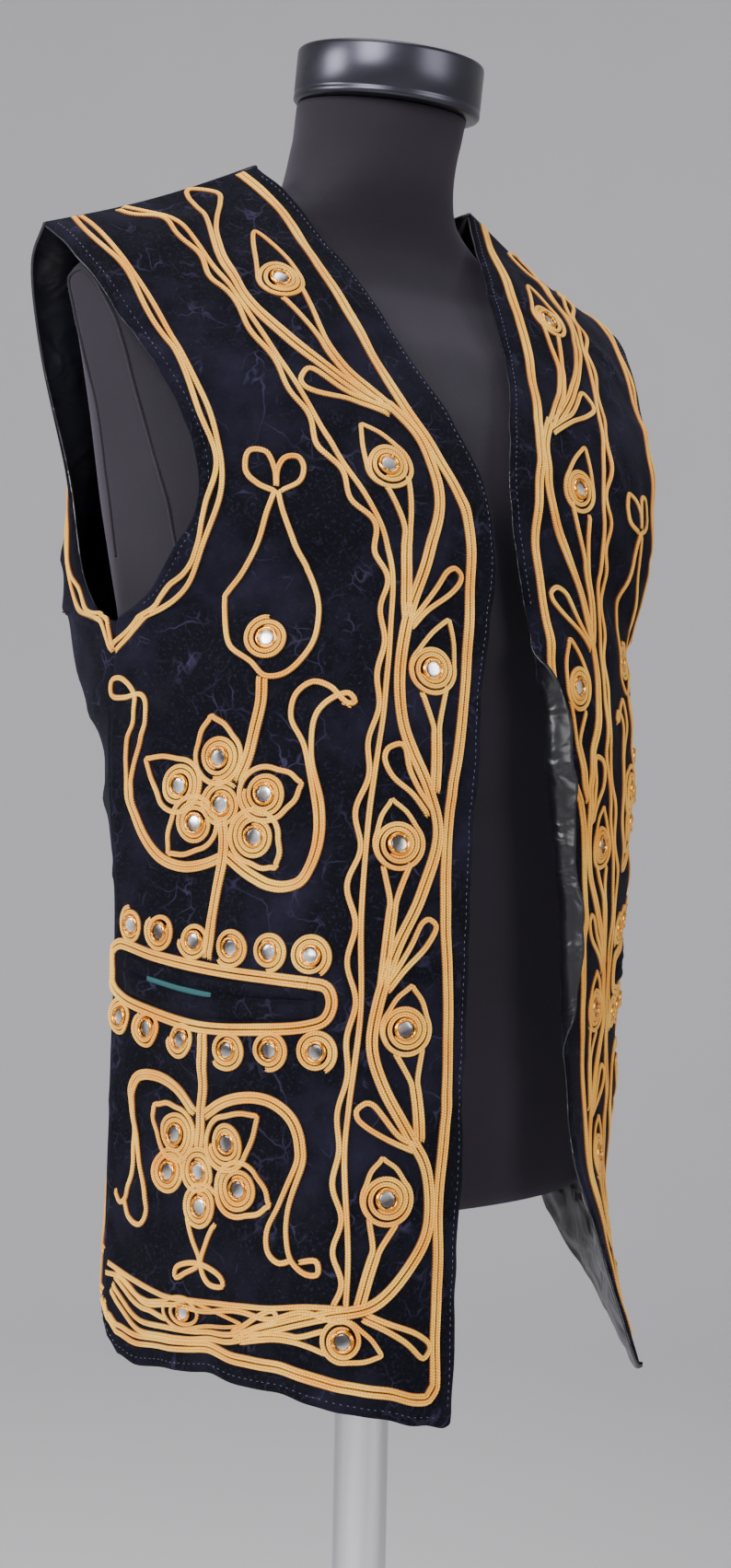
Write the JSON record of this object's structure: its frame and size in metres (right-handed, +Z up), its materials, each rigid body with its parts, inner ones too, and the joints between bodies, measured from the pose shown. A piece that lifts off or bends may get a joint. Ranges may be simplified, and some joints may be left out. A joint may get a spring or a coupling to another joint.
{
  "type": "embroidered velvet vest on a dress form",
  "caption": "Sleeveless open-front velvet vest with laid gold braid flowers and vines, satin lined, hanging on a limbless dress form on a pole and round base",
  "frame": {"origin": "centre of the base's underside, on the floor", "axes": "+Z up, the vest's front faces -Y, the wearer's right side is -X"},
  "size_m": [0.392, 0.3282, 1.475],
  "materials": {
    "velvet": "dark navy pile velvet",
    "satin": "black satin",
    "braid_gold": "pale gold flat braid",
    "form_cloth": "charcoal jersey over the form",
    "cap_black": "glossy black",
    "pole_chrome": "polished",
    "base_steel": "satin"
  },
  "bodies": {
    "root": {"armhole_line_back_left": "braid_gold", "armhole_line_back_right": "braid_gold", "armhole_line_left": "braid_gold", "armhole_line_right": "braid_gold", "back": "velvet", "back_border": "braid_gold", "back_inner_line": "braid_gold", "border_left": "braid_gold", "border_right": "braid_gold", "flower_lower_left": "braid_gold", "flower_lower_right": "braid_gold", "flower_upper_left": "braid_gold", "flower_upper_right": "braid_gold", "form_base": "base_steel", "form_neck_cap": "cap_black", "form_pole": "pole_chrome", "form_torso": "form_cloth", "front_left": "velvet", "front_right": "velvet", "inner_line_left": "braid_gold", "inner_line_right": "braid_gold", "lining_back": "satin", "lining_front_left": "satin", "lining_front_right": "satin", "pocket_braid_left": "braid_gold", "pocket_braid_right": "braid_gold", "vine_left": "braid_gold", "vine_right": "braid_gold", "welt_lower_left": "velvet", "welt_lower_right": "velvet", "welt_upper_left": "velvet", "welt_upper_right": "velvet"}
  },
  "joints": []
}
